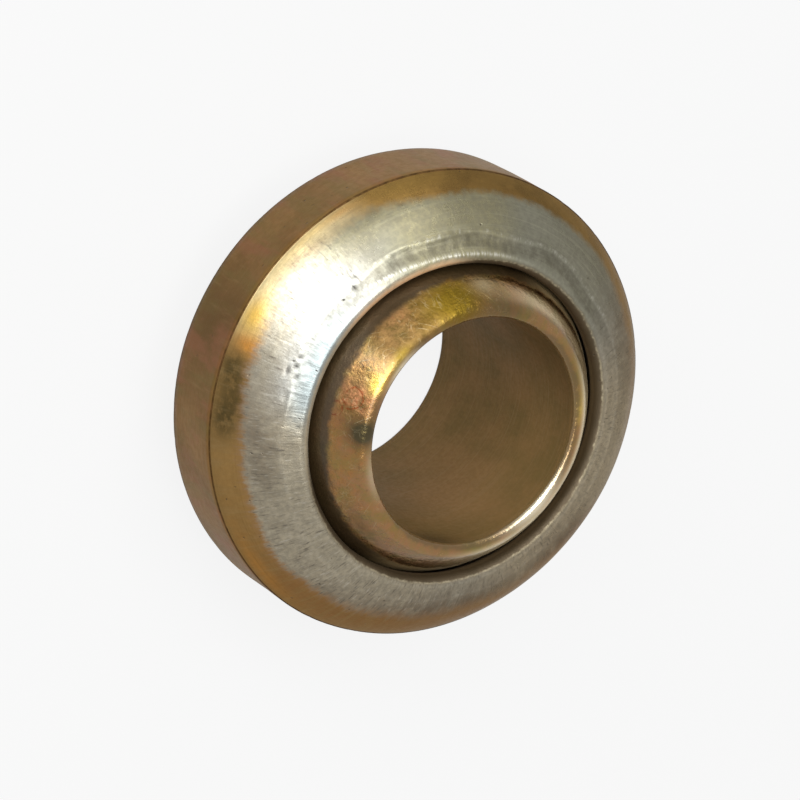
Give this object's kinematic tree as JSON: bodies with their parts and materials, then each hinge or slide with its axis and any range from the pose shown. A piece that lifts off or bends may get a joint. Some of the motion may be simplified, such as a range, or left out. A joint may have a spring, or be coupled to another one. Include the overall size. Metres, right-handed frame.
{
  "type": "ball socket joint",
  "caption": "Weld-in ball socket joint: a drilled steel ball that swivels in a ring swaged round it, zinc plated with a yellow tint.",
  "frame": {"origin": "centre of the ball and of its seat, which is the centre of the whole joint", "axes": "+Z along the ball's bore, up from the face that the ball stands on; +X along the swivel axis, about which the ring leans 3.5 degrees at rest"},
  "size_m": [0.0586, 0.059, 0.0302],
  "materials": {
    "ball": "polished steel with iridescent yellow zinc plating",
    "socket_ring": "zinc plated steel, brown on the band, gold at the shoulder's edge and rubbed bare round the lip"
  },
  "bodies": {
    "socket": {"socket_ring": "socket_ring"},
    "ball": {"ball": "ball"}
  },
  "joints": [
    {"name": "ball_swivel", "type": "hinge", "parent": "socket", "child": "ball", "pos_m": [0, 0, 0], "axis": [1, 0, 0], "continuous": true}
  ]
}
